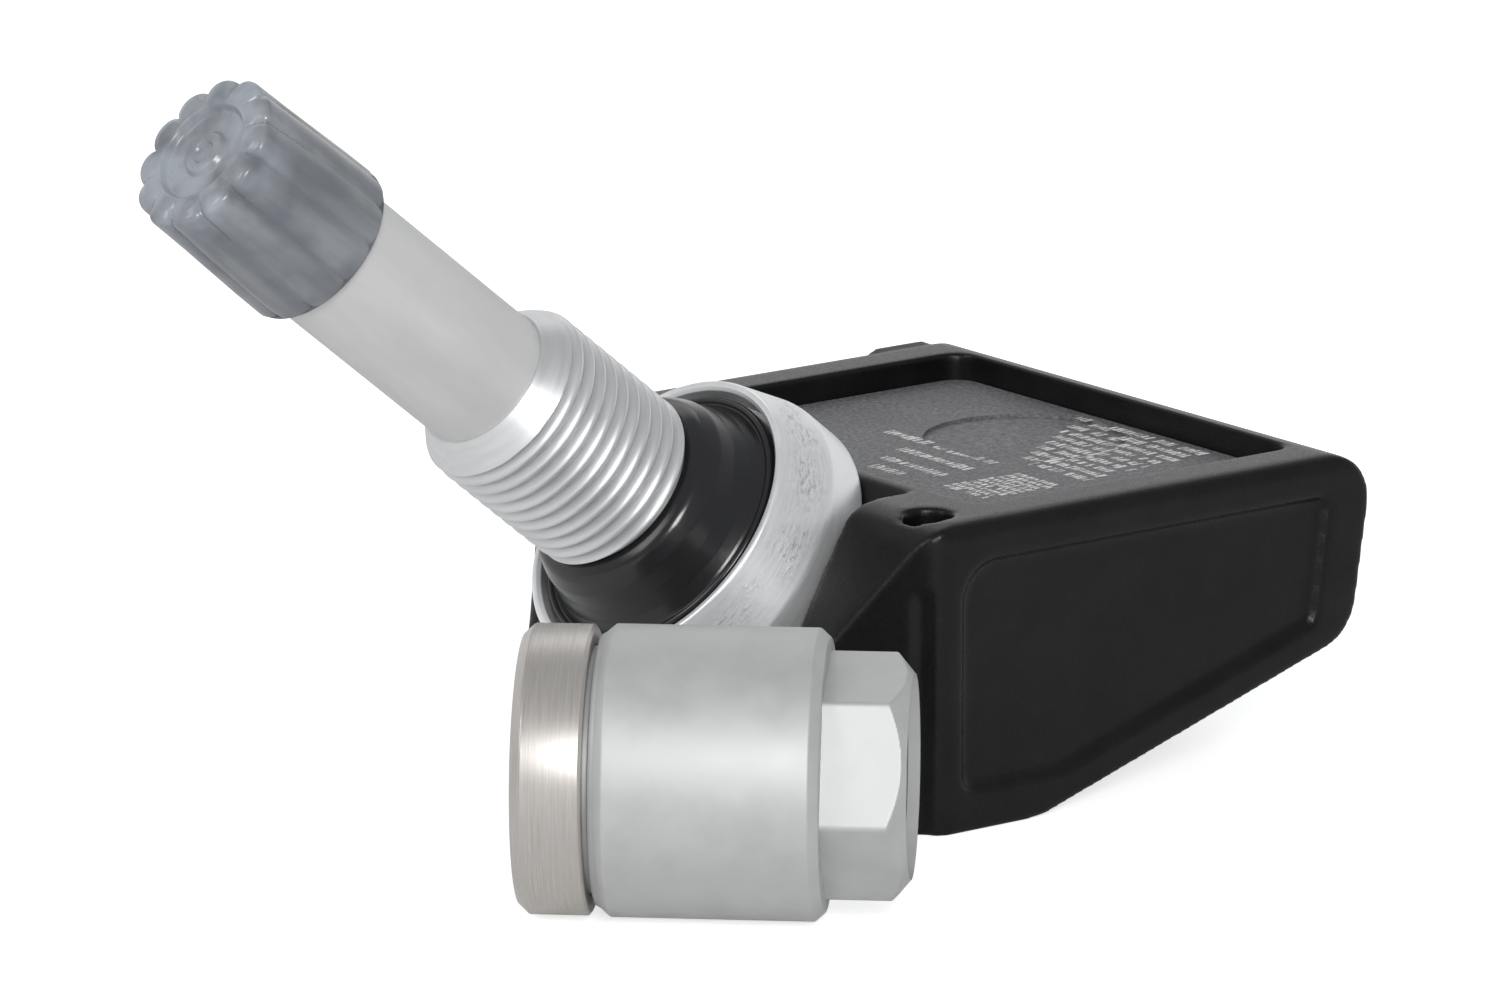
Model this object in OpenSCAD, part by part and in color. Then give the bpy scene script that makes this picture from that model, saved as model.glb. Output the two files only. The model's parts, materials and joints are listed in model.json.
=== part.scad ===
// Clamp-in tyre pressure sensor: potted housing, inclined valve stem, cap and loose collar nut.
// The housing rests on its flat foot at Z = 0, its length runs along X and the stem leans to -X.

/* [Housing] */
// Width of the housing across its flat sides
housing_w = 37.4; // [34:0.2:42]
// Height of the rim above the foot
housing_h = 17.8; // [17.4:0.1:22]
// Distance from the frame origin to the back edge of the rim
housing_back = 32.8; // [31:0.1:40]
// Length of the flat foot behind the frame origin
foot_back = 8.4; // [6:0.1:10]
// Radius of the upper front edge of the ears
ear_round = 2.6; // [1:0.1:6]
// Radius of the upper back edge
back_round = 2.8; // [1:0.1:3]
// Width of the rim along the sides
side_rim = 3.3; // [2:0.1:3.8]
// Width of the rim along the back
back_rim = 3.4; // [2:0.1:4.2]
// Depth of the cover below the rim
cover_sink = 1.6; // [0.5:0.1:1.8]
// Thickness of the cover plate
cover_t = 1.2; // [0.8:0.1:1.4]
// Thickness of the housing floor
floor_t = 1.8; // [1:0.1:2]
// Diameter of the round outline on the cover
disc_d = 11.6; // [6:0.1:14]
// Diameter of the blind hole in the near ear
ear_hole_d = 2.8; // [1.5:0.1:3]
// Depth of the shallow panel in the near side
panel_sink = 0.5; // [0.2:0.1:0.8]

/* [Valve stem] */
// Angle of the stem above the foot plane
stem_tilt = 39.3; // [35:0.5:45]
// Diameter of the collar at its widest
collar_d = 20.1; // [19:0.1:20.6]
// Diameter of the collar at its front rim
collar_rim_d = 19; // [18:0.1:19.4]
// Length of the collar along the stem
collar_len = 7; // [6:0.1:8]
// Depth of the recess that holds the grommet
recess_depth = 2.4; // [1.5:0.1:3]
// Diameter of the recess that holds the grommet
recess_d = 16.9; // [16.4:0.1:17.2]
// Diameter of the stem inside the grommet
neck_d = 9.9; // [9:0.1:10.2]
// Distance from the collar rim to the clamp thread
thread_gap = 3.35; // [2.5:0.05:5]
// Outer diameter of the clamp thread
thread_d = 11; // [10.6:0.1:12]
// Length of the clamp thread with its chamfer
thread_len = 11.5; // [8:0.1:14]
// Diameter of the plain shank
shank_d = 8.2; // [8:0.1:8.4]
// Length of the plain shank
shank_len = 15.8; // [12:0.1:20]
// Outer diameter of the valve mouth thread
mouth_d = 7.7; // [7.4:0.1:7.8]
// Length of the valve mouth thread
mouth_len = 6.6; // [6:0.1:9]

/* [Cap] */
// Diameter of the cap at its open end
cap_d = 9.9; // [9.8:0.1:11]
// Diameter of the cap at its closed end
cap_end_d = 9.4; // [9.2:0.1:9.8]
// Thickness of the closed end of the cap
cap_end_t = 1.05; // [0.8:0.05:2]
// Number of flutes round the cap
flutes = 12; // [8:1:24]
// Thickness of the rubber disc inside the cap
cap_seal_t = 0.7; // [0.5:0.1:1.2]

/* [Grommet] */
// Diameter of the flange that lies in the collar
flange_d = 16.2; // [15:0.1:16.4]
// Thickness of the flange
flange_t = 2; // [1.5:0.1:2.3]
// Diameter of the bulged neck
bulge_d = 12.7; // [12:0.1:13]

/* [Valve core] */
// Diameter of the bore that takes the valve core
core_d = 5.2; // [5:0.1:5.4]
// Length of the threaded head of the valve core
core_head = 5.5; // [4.5:0.1:6]
// Travel of the core pin when it is pressed
pin_travel = 1.2; // [0.5:0.1:1.5]

/* [Collar nut] */
// Outer diameter of the nut
nut_d = 15.9; // [15:0.1:18]
// Length of the round part of the nut
nut_len = 12.1; // [10:0.1:16]
// Width across the flats of the hexagon
hex_af = 11.8; // [11.6:0.1:14]
// Length of the hexagon
hex_len = 4.6; // [3:0.1:6]
// Outer diameter of the captive washer
washer_d = 15.8; // [15.4:0.1:15.8]
// Length of the captive washer along the nut
washer_len = 3.9; // [3:0.1:5]
// Turn of the nut about the vertical, measured from the +X axis
nut_yaw = -42; // [-60:1:-20]

/* [Electronics] */
// Diameter of the battery cell
cell_d = 16; // [12:0.5:16.5]
// Thickness of the battery cell
cell_t = 3.2; // [2:0.1:3.3]
// Thickness of the circuit board
board_t = 1; // [0.8:0.1:1.2]

/* [Hidden] */
$fn = 48;

// Running and seating clearances
run_gap = 0.05;
fit_gap = 0.15;
seat_gap = 0.1;

// Seat of the collar on the housing, on the stem axis
seat_x = 0.2;
seat_drop = 6.2;
seat_z = housing_h - seat_drop;
half_w = housing_w / 2;

// Fixed places on the housing
ear_top_x = 0.9;
front_lean = 0.56;
front_x = ear_top_x - housing_h * front_lean;
heel_x = housing_back - 1.6;
heel_round = 3.2;
taper_start = 1.2;
taper_end = -4.8;
taper_w = half_w - 6.6;
nose_w = half_w - 10.4;
taper_slope = (half_w - taper_w) / (taper_start - taper_end);
plan_round = 0.6;
pocket_gap = 0.75;
pocket_w = collar_d + 2 * pocket_gap;

// Recess, cover and cavity
recess_front = 6.2;
recess_back = housing_back - back_rim;
recess_w = housing_w - 2 * side_rim;
recess_round = 1.6;
cover_top = housing_h - cover_sink;
cover_bottom = cover_top - cover_t;
ledge = 0.9;
cavity_front = recess_front + ledge;
cavity_back = recess_back - ledge;
cavity_w = recess_w - 2 * ledge;
side_wall = 1.8;
cavity_half = half_w - side_wall * norm([1, taper_slope]);
cavity_taper = taper_start - (cavity_half - cavity_w / 2) / taper_slope;
seat_run = tan(90 - stem_tilt);
cavity_nose = cavity_front - (cover_bottom - floor_t) / seat_run;
function floor_z(x) = floor_t + max(0, (x - foot_back) * rise);

// Stack of the inner pieces, counted down from the cover
headroom = 2.7;
board_top = cover_bottom - headroom;
board_bottom = board_top - board_t;
board_front = cavity_front + 0.9;
board_back = cavity_back - 0.3;
board_w = cavity_w - 0.6;
tab_t = 0.2;
tab_gap = 0.05;
cell_top = board_bottom - tab_t - 2 * tab_gap;
cell_bottom = cell_top - cell_t;
cell_x = (board_front + board_back) / 2 + 0.4;
boss_top = cell_bottom - tab_t - 2 * tab_gap;
post = 2.4;

// The underside rises as far as the stack lets the floor rise under the back of the cell
floor_spare = 0.04;
floor_rise = boss_top - floor_spare - floor_t;
rise = floor_rise / (cell_x + cell_d / 2 - foot_back);
heel_h = rise * (heel_x - foot_back);

// Stem stations along its axis, counted from the seat
collar_round = 0.5;
recess_floor = collar_len - recess_depth;
thread_start = collar_len + thread_gap;
thread_end = thread_start + thread_len;
thread_chamfer = 1.9;
shank_end = thread_end + shank_len;
mouth_end = shank_end + mouth_len;
cap_skirt = 1.3;
cap_start = shank_end - cap_skirt + 0.3;
seal_start = mouth_end + run_gap;
cap_inner_end = seal_start + cap_seal_t + run_gap;
cap_end = cap_inner_end + cap_end_t;
bore_d = 2.6;
core_step = 4;
barrel_d = 3.2;
air_hole_d = 1.8;

// Valve core stations
core_top = mouth_end - 0.6;
core_shoulder = core_top - core_head;
barrel_end = core_shoulder - 5;
pin_d = 0.9;
pin_top = mouth_end - 0.4;
cup_t = 1.2;
cup_top = barrel_end - 0.05;
spring_wire = 0.35;
spring_d = 3.3;
spring_turns = 5;
spring_top = cup_top - cup_t - 0.05;
spring_len = 5 * pin_travel;
step_z = spring_top - spring_len - 0.02;

// Retaining screw
screw_d = 4;
screw_depth = 3.4;
screw_head_d = 6.8;
screw_head_t = 2.3;
seat_wall = (cavity_front - seat_x - (cover_bottom - seat_z) / seat_run) * sin(90 - stem_tilt);

// Nut placement and its stations along its axis, counted from the washer end
nut_x = -25.7;
nut_y = 2.5 - half_w;
groove = 0.6;
shoulder = washer_len + groove;
round_end = shoulder + nut_len;
nut_end = round_end + hex_len;
hub_d = 13.5;
hub_lip_d = 14.2;
hub_lip_t = 0.5;
hub_lip_start = 0.25;
washer_pocket_d = hub_lip_d + 0.5;
washer_pocket = hub_lip_start + hub_lip_t + 0.2;
nut_bore_d = thread_d - 1.08;
nut_mouth_d = bulge_d - 0.3;
nut_mouth = 4.4;
nut_chamfer = 0.9;

// An outline given as [x, y, corner radius], with each corner turned into an arc
function unit(v) = v / norm(v);
function arc_points(centre, r, from, turn, steps) =
    [for (i = [0:steps]) centre + r * [cos(from + turn * i / steps), sin(from + turn * i / steps)]];
function corner(before, at, after, r) =
    let (u = unit(before - at))
    let (v = unit(after - at))
    let (half = acos(u * v) / 2)
    let (centre = at + unit(u + v) * r / sin(half))
    let (p = at + u * r / tan(half) - centre)
    let (q = at + v * r / tan(half) - centre)
    let (from = atan2(p.y, p.x))
    let (turn = (atan2(q.y, q.x) - from + 540) % 360 - 180)
    arc_points(centre, r, from, turn, ceil(abs(turn) / 12) + 1);
function rounded(pts) =
    [for (i = [0:len(pts) - 1])
        let (n = len(pts))
        let (a = pts[(i + n - 1) % n])
        let (b = pts[i])
        let (c = pts[(i + 1) % n])
        each b.z > 0 ? corner([a.x, a.y], [b.x, b.y], [c.x, c.y], b.z) : [[b.x, b.y]]];
function mirrored(pts) =
    concat(pts, [for (i = [len(pts) - 1:-1:0]) [pts[i].x, -pts[i].y, pts[i].z]]);

// Frames of the stem and of the loose nut
module on_stem() {
    translate([seat_x, 0, seat_z]) rotate([0, stem_tilt - 90, 0]) children();
}
module on_nut() {
    translate([nut_x, nut_y, nut_d / 2]) rotate([0, 0, nut_yaw]) rotate([0, 90, 0]) children();
}
// A side outline in X and Z, extruded about the middle plane
module side_extrude(w) {
    rotate([90, 0, 0]) linear_extrude(w, center = true) children();
}
module turned() {
    rotate_extrude($fn = 96) children();
}
module bore(d, from, to) {
    translate([0, 0, from]) cylinder(d = d, h = to - from);
}
module block(x0, x1, y0, y1, z0, z1) {
    translate([x0, y0, z0]) cube([x1 - x0, y1 - y0, z1 - z0]);
}

// Housing
side_profile = rounded([
    [front_x, 0, 1.2],
    [foot_back, 0, 4],
    [heel_x, heel_h, heel_round],
    [housing_back, housing_h, back_round],
    [ear_top_x, housing_h, ear_round]]);
plan_profile = rounded(mirrored([
    [housing_back + 0.01, half_w, plan_round],
    [taper_start, half_w, 2],
    [taper_end, taper_w, 2],
    [front_x - 0.01, nose_w, 2]]));

module housing_block() {
    intersection() {
        side_extrude(housing_w + 2) polygon(side_profile);
        linear_extrude(housing_h + 1) polygon(plan_profile);
    }
}
module recess_outline(front, back, w, r) {
    polygon(rounded(mirrored([[back, w / 2, r], [front, w / 2, r]])));
}
module cavity() {
    intersection() {
        side_extrude(cavity_w) polygon([
            [cavity_front, cover_bottom + 1],
            [cavity_front, cover_bottom],
            [cavity_nose, floor_t],
            [foot_back, floor_t],
            [cavity_back, floor_z(cavity_back)],
            [cavity_back, cover_bottom + 1]]);
        translate([0, 0, -1]) linear_extrude(housing_h + 2)
            polygon(rounded(mirrored([
                [cavity_back, cavity_w / 2, recess_round],
                [cavity_taper, cavity_w / 2, 0],
                [cavity_nose - 0.1,
                    cavity_half - taper_slope * (taper_start - cavity_nose), 0]])));
    }
}
// Slot between the ears, in front of the seat of the collar
module collar_pocket() {
    on_stem() translate([-housing_h * 2, -pocket_w / 2, 0])
        cube([housing_h * 4, pocket_w, collar_len * 2]);
}
panel_front = 2.8;
panel_low = 2.4;
panel_top = housing_h - 2.35;
panel_back = housing_back - 3.5;
module side_panel() {
    translate([0, -half_w + panel_sink / 2 - 0.5, 0]) side_extrude(panel_sink + 1)
        polygon(rounded([
            [panel_front, panel_low, 0.8],
            [foot_back + 1.4, panel_low, 2],
            [panel_back - 1, panel_low + (panel_back - 2.4 - foot_back) * rise, 0.6],
            [panel_back, panel_top, 0.6],
            [panel_front, panel_top, 2.4]]));
}
module ear_groove() {
    translate([0, -half_w + 0.45, -1]) cylinder(d = 1.7, h = housing_h - 2.7);
}
ear_hole_x = 2.7;
ear_hole_y = 3.2 - half_w;
lug_end = housing_back - back_round;
lug_start = lug_end - back_round * 2;
lug_low = housing_h * 0.67;
lug_proud = 0.7;
module far_lug() {
    intersection() {
        translate([0, half_w, 0]) side_extrude(lug_proud * 2) polygon([
            [lug_start + 0.5, lug_low],
            [lug_end - 0.5, lug_low],
            [lug_end, housing_h - 0.5],
            [lug_end - 0.6, housing_h],
            [lug_start + 1.3, housing_h],
            [lug_start, housing_h - 0.8]]);
        translate([0, half_w, 0]) cube([housing_back * 4, 1, housing_h * 4], center = true);
    }
}
module battery_boss() {
    intersection() {
        difference() {
            translate([cell_x, 0, 1]) cylinder(d = cell_d + 1.2, h = boss_top - 1);
            translate([cell_x, 0, 0]) cylinder(d = cell_d - 2.4, h = boss_top + 1);
        }
        side_extrude(cell_d * 2) polygon([
            [0, 0.5],
            [foot_back, 0.5],
            [heel_x, heel_h + 0.5],
            [heel_x, housing_h],
            [0, housing_h]]);
    }
}
module board_posts() {
    for (x = [board_front, cavity_back - post + 0.2], side = [-1, 1])
        translate([x, side * (cavity_w / 2 - post / 2 + 0.2) - post / 2, floor_z(x) - 0.8])
            cube([post, post, board_bottom - floor_z(x) + 0.8]);
}
module housing() {
    color([0.15, 0.15, 0.17]) difference() {
        union() {
            difference() {
                housing_block();
                translate([0, 0, cover_bottom]) linear_extrude(housing_h)
                    recess_outline(recess_front, recess_back, recess_w, recess_round);
                cavity();
            }
            battery_boss();
            board_posts();
            far_lug();
        }
        collar_pocket();
        side_panel();
        ear_groove();
        translate([ear_hole_x, ear_hole_y, housing_h - 6]) cylinder(d = ear_hole_d, h = 8);
        on_stem() bore(screw_d + 0.4, -seat_wall * 2, 1);
    }
}

// The round outline lies behind the middle of the cover, a little to the far side
disc_x = recess_front + 0.71 * (recess_back - recess_front);
disc_y = 0.024 * housing_w;
module cover() {
    color([0.42, 0.42, 0.44]) difference() {
        translate([0, 0, cover_bottom]) linear_extrude(cover_t)
            recess_outline(recess_front + seat_gap, recess_back - seat_gap,
                recess_w - 2 * seat_gap, recess_round - seat_gap);
        translate([disc_x, disc_y, cover_top - 0.2]) difference() {
            cylinder(d = disc_d + 0.25, h = 1);
            translate([0, 0, -1]) cylinder(d = disc_d - 0.25, h = 3);
        }
    }
}

// Electronics
module circuit_board() {
    color([0.1, 0.35, 0.2])
        block(board_front, board_back, -board_w / 2, board_w / 2, board_bottom, board_top);
}
module battery_cell() {
    color([0.75, 0.76, 0.78]) translate([cell_x, 0, cell_bottom]) {
        cylinder(d = cell_d, h = cell_t - 0.5);
        cylinder(d = cell_d - 2.2, h = cell_t);
    }
}
tab_w = 4;
tab_reach = cell_d / 2 + 2.2;
module battery_tab_top() {
    color([0.8, 0.78, 0.7])
        block(cell_x - tab_w / 2, cell_x + tab_w / 2, -tab_reach, 3,
            cell_top + tab_gap, board_bottom - tab_gap);
}
module battery_tab_bottom() {
    color([0.8, 0.78, 0.7]) {
        block(cell_x - tab_w / 2, cell_x + tab_w / 2, -3, tab_reach,
            boss_top + tab_gap, boss_top + tab_gap + tab_t);
        block(cell_x - tab_w / 2, cell_x + tab_w / 2, tab_reach - tab_t, tab_reach,
            boss_top + tab_gap, board_bottom - tab_gap);
    }
}
chip_w = 7;
chip_x = board_back - 2.2 - chip_w / 2;
module sensor_chip() {
    color([0.12, 0.12, 0.13]) difference() {
        block(chip_x - chip_w / 2, chip_x + chip_w / 2, -chip_w / 2, chip_w / 2,
            board_top, board_top + 2);
        translate([chip_x, 0, board_top + 1.2]) cylinder(d = 1.6, h = 2);
    }
}
module crystal() {
    color([0.8, 0.8, 0.78]) translate([chip_x, board_w / 2 - 3, board_top])
        cylinder(d = 2.6, h = 1.9);
}
coil_x = board_front + 3.4;
coil_len = 7;
module ferrite_core() {
    color([0.2, 0.2, 0.22]) {
        block(coil_x - 1.3, coil_x + 1.3, -coil_len / 2, coil_len / 2, board_top, board_top + 0.6);
        for (y = [-coil_len / 2, coil_len / 2 - 0.8])
            block(coil_x - 1.3, coil_x + 1.3, y, y + 0.8, board_top, board_top + 2.4);
        translate([coil_x, 0, board_top + 1.5]) rotate([90, 0, 0])
            cylinder(d = 0.9, h = coil_len - 1, center = true);
    }
}
module antenna_coil() {
    color([0.72, 0.42, 0.2]) translate([coil_x, 0, board_top + 1.5]) rotate([90, 0, 0])
        difference() {
            cylinder(d = 1.7, h = coil_len - 1.8, center = true);
            cylinder(d = 0.94, h = coil_len, center = true);
        }
}
module antenna_bracket() {
    y0 = -board_w / 2 + 1;
    x0 = board_front + 1.5;
    x1 = board_back - 1.5;
    color([0.82, 0.8, 0.72]) {
        block(x0, x1, y0, y0 + 1.4, board_top + 1.7, board_top + 2);
        for (x = [x0, x1 - 0.3]) block(x, x + 0.3, y0, y0 + 1.4, board_top, board_top + 2);
    }
}
module capacitors() {
    color([0.7, 0.6, 0.45]) for (i = [0:3])
        translate([coil_x + 3.4 + i * 1.7, board_w / 2 - 7, board_top]) cube([0.9, 1.6, 0.8]);
}

module retaining_screw() {
    color([0.6, 0.6, 0.62]) on_stem() difference() {
        union() {
            bore(screw_d, -seat_wall - 0.02, screw_depth - 0.2);
            translate([0, 0, -seat_wall - screw_head_t - 0.02])
                cylinder(d = screw_head_d, h = screw_head_t);
        }
        translate([0, 0, -seat_wall - screw_head_t - 0.5]) cylinder(d = 3.4, h = 1.6, $fn = 6);
    }
}

// Valve stem: one turned piece with its collar, clamp thread, shank and valve mouth
module stem_outline() {
    polygon(concat(
        [[0, 0]],
        arc_points([collar_d / 2 - collar_round, collar_round], collar_round, -90, 90, 5),
        [[collar_d / 2, collar_len * 0.45],
        [collar_rim_d / 2, collar_len - 0.35],
        [collar_rim_d / 2 - 0.3, collar_len],
        [recess_d / 2 + 0.2, collar_len],
        [recess_d / 2, collar_len - 0.2],
        [recess_d / 2, recess_floor],
        [neck_d / 2, recess_floor],
        [neck_d / 2, thread_start],
        [thread_d / 2 - 0.35, thread_start],
        [thread_d / 2, thread_start + 0.35],
        [thread_d / 2, thread_end - thread_chamfer],
        [shank_d / 2, thread_end],
        [shank_d / 2, shank_end],
        [mouth_d / 2, shank_end + 0.3],
        [mouth_d / 2, mouth_end - 0.5],
        [mouth_d / 2 - 0.5, mouth_end],
        [0, mouth_end]]));
}
module valve_stem() {
    color([0.74, 0.74, 0.73]) on_stem() difference() {
        turned() stem_outline();
        bore(core_d + 2 * run_gap, core_shoulder - 0.1, mouth_end + 1);
        translate([0, 0, core_shoulder - 1.1])
            cylinder(d1 = core_step, d2 = core_d + 2 * run_gap, h = 1.01);
        bore(core_step, step_z, core_shoulder - 1);
        bore(bore_d, recess_floor + 0.8, step_z + 1);
        bore(screw_d, -1, screw_depth);
        translate([0, 0, recess_floor + 0.8]) rotate([0, -110, 0])
            cylinder(d = air_hole_d, h = collar_d);
    }
}

module grommet() {
    neck_end = thread_start - 0.05;
    base = recess_floor;
    top = base + flange_t;
    mid = (top + neck_end) / 2;
    reach = (neck_end - top) / 2;
    color([0.05, 0.05, 0.055]) on_stem() turned() polygon(concat(
        [[neck_d / 2 + 0.02, base],
        [flange_d / 2 - 0.3, base],
        [flange_d / 2, base + 0.3],
        [flange_d / 2, top - 0.2],
        [flange_d / 2 - 0.2, top],
        [bulge_d / 2 + 0.4, top]],
        [for (a = [-60:15:90]) [bulge_d / 2 - 0.9 + 0.9 * cos(a), mid + reach * sin(a)]],
        [[neck_d / 2 + 0.02, neck_end]]));
}

// Valve core
module core_body() {
    color([0.78, 0.68, 0.42]) on_stem() difference() {
        union() {
            bore(core_d, core_shoulder + 0.9, core_top);
            bore(core_d - 1.6, core_shoulder - 0.1, core_shoulder + 0.95);
            bore(barrel_d, barrel_end, core_shoulder);
        }
        bore(pin_d + 0.7, barrel_end - 1, core_top + 1);
        for (side = [-1, 1]) translate([side * 2.2, 0, core_top])
            cube([1.4, 8, 3], center = true);
    }
}
module core_gasket() {
    color([0.85, 0.3, 0.25]) on_stem() difference() {
        translate([0, 0, core_shoulder - 0.05])
            cylinder(d1 = core_d - 0.35, d2 = core_d - 0.05, h = 0.9);
        bore(core_d - 1.55, core_shoulder - 1, core_shoulder + 2);
    }
}
module core_pin() {
    color([0.8, 0.78, 0.7]) on_stem() {
        bore(pin_d, spring_top - spring_len + 0.5, pin_top - 0.6);
        translate([0, 0, pin_top - 0.6]) cylinder(d1 = pin_d + 0.4, d2 = pin_d, h = 0.6);
    }
}
module core_seal_cup() {
    color([0.1, 0.1, 0.1]) on_stem() difference() {
        bore(barrel_d, cup_top - cup_t, cup_top);
        bore(pin_d + 0.02, cup_top - cup_t - 1, cup_top + 1);
    }
}
// A helical spring swept as one closed skin of rings
module spring_wire(radius, wire, turns, len, sides = 8, per_turn = 14) {
    rings = turns * per_turn;
    ring_points = [for (i = [0:rings], k = [0:sides - 1])
        let (a = 360 * i / per_turn)
        let (b = 360 * k / sides)
        let (r = radius + wire / 2 * cos(b))
        [r * cos(a), r * sin(a), wire / 2 + (len - wire) * i / rings + wire / 2 * sin(b)]];
    walls = [for (i = [0:rings - 1], k = [0:sides - 1])
        let (n = (k + 1) % sides)
        [i * sides + k, (i + 1) * sides + k, (i + 1) * sides + n, i * sides + n]];
    ends = [[for (k = [0:sides - 1]) k], [for (k = [sides - 1:-1:0]) rings * sides + k]];
    polyhedron(ring_points, concat(walls, ends), convexity = 10);
}
module core_spring() {
    color([0.75, 0.75, 0.76]) on_stem() translate([0, 0, spring_top - spring_len])
        spring_wire((spring_d - spring_wire) / 2, spring_wire, spring_turns, spring_len);
}

// Cap
module cap_outline() {
    polygon(concat(
        [[0, cap_start - 1],
        [cap_d / 2 - 0.25, cap_start - 1],
        [cap_d / 2 - 0.25, cap_start],
        [cap_d / 2, cap_start + 0.25]],
        arc_points([cap_end_d / 2 - 0.8, cap_end - 0.8], 0.8, 0, 90, 6),
        [[cap_end_d / 2 - 1.5, cap_end],
        [cap_end_d / 2 - 1.9, cap_end - 0.35],
        [1.5, cap_end - 0.35],
        [1.2, cap_end - 0.1],
        [0, cap_end - 0.1]]));
}
module valve_cap() {
    lean = atan((cap_d - cap_end_d) / 2 / (cap_end - cap_start));
    color([0.35, 0.38, 0.42]) on_stem() difference() {
        turned() cap_outline();
        bore(shank_d + 2 * fit_gap, cap_start - 2, shank_end + 0.4);
        bore(mouth_d + 2 * run_gap, cap_start, cap_inner_end);
        translate([0, 0, cap_start - 2]) cylinder(d = cap_d * 2, h = 2);
        for (i = [0:flutes - 1]) rotate([0, 0, i * 360 / flutes])
            translate([cap_d / 2 + 0.25, 0, cap_start + 0.9]) rotate([0, -lean, 0])
                cylinder(d = 1, h = cap_end - cap_start, $fn = 24);
    }
}
module cap_seal() {
    color([0.08, 0.08, 0.08]) on_stem() bore(mouth_d - 0.1, seal_start, seal_start + cap_seal_t);
}

// Loose collar nut and its captive washer
module nut_outline() {
    polygon([
        [0, hub_lip_start],
        [hub_lip_d / 2 - 0.2, hub_lip_start],
        [hub_lip_d / 2, hub_lip_start + 0.2],
        [hub_lip_d / 2, hub_lip_start + hub_lip_t],
        [hub_d / 2, hub_lip_start + hub_lip_t],
        [hub_d / 2, shoulder],
        [nut_d / 2 - nut_chamfer, shoulder],
        [nut_d / 2, shoulder + nut_chamfer * 0.6],
        [nut_d / 2, round_end - nut_chamfer],
        [nut_d / 2 - nut_chamfer, round_end],
        [0, round_end]]);
}
module nut_hexagon() {
    hex_corner = hex_af / cos(30);
    intersection() {
        translate([0, 0, round_end - 1]) rotate([0, 0, 3.8])
            cylinder(d = hex_corner, h = hex_len + 1, $fn = 6);
        turned() polygon([
            [0, round_end - 2],
            [hex_corner / 2 + 0.5, round_end - 2],
            [hex_corner / 2 + 0.5, nut_end - 0.9],
            [hex_af / 2 - 0.25, nut_end],
            [0, nut_end]]);
    }
}
module collar_nut() {
    color([0.78, 0.8, 0.81]) on_nut() difference() {
        union() {
            turned() nut_outline();
            nut_hexagon();
        }
        bore(nut_bore_d, -1, nut_end + 1);
        bore(nut_mouth_d, -1, nut_mouth);
        translate([0, 0, nut_mouth - 0.01])
            cylinder(d1 = nut_mouth_d, d2 = nut_bore_d, h = (nut_mouth_d - nut_bore_d) / 2);
        translate([0, 0, nut_end - 0.5])
            cylinder(d1 = nut_bore_d - 0.2, d2 = nut_bore_d + 1.2, h = 0.7);
    }
}
module nut_washer() {
    color([0.68, 0.65, 0.62]) on_nut() turned() polygon([
        [washer_pocket_d / 2, 0],
        [washer_d / 2 - 0.5, 0],
        [washer_d / 2, 0.55],
        [washer_d / 2, washer_len - 0.2],
        [washer_d / 2 - 0.2, washer_len],
        [hub_d / 2 + run_gap, washer_len],
        [hub_d / 2 + run_gap, washer_pocket],
        [washer_pocket_d / 2, washer_pocket]]);
}

housing();
cover();
circuit_board();
battery_cell();
battery_tab_top();
battery_tab_bottom();
sensor_chip();
crystal();
ferrite_core();
antenna_coil();
antenna_bracket();
capacitors();
retaining_screw();
valve_stem();
grommet();
core_body();
core_gasket();
core_pin();
core_seal_cup();
core_spring();
cap_seal();
valve_cap();
collar_nut();
nut_washer();
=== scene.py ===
import json
import math
import random
import bmesh
import bpy
from mathutils import Matrix, Vector


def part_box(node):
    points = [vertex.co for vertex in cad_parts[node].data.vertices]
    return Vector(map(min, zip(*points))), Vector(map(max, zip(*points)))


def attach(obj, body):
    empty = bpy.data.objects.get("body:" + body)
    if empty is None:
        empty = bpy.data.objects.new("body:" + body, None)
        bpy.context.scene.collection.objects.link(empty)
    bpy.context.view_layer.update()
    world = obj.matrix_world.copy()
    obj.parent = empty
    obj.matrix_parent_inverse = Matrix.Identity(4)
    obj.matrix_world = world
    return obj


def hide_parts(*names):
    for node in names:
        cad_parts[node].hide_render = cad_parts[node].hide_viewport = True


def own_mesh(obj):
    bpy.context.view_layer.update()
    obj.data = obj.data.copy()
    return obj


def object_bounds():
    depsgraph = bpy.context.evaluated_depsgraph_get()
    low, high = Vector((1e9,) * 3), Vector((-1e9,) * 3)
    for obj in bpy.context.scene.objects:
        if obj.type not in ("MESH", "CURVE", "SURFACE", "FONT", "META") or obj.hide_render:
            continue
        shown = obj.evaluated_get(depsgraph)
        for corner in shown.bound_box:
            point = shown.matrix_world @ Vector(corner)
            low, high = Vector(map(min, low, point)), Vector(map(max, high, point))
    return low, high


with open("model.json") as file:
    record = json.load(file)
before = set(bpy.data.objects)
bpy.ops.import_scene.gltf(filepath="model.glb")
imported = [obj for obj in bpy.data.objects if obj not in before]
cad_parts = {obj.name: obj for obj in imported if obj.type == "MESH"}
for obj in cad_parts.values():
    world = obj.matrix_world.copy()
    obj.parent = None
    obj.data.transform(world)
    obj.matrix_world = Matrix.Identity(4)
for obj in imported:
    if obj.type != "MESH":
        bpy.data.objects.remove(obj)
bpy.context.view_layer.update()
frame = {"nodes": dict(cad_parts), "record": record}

MM = 0.001

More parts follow.
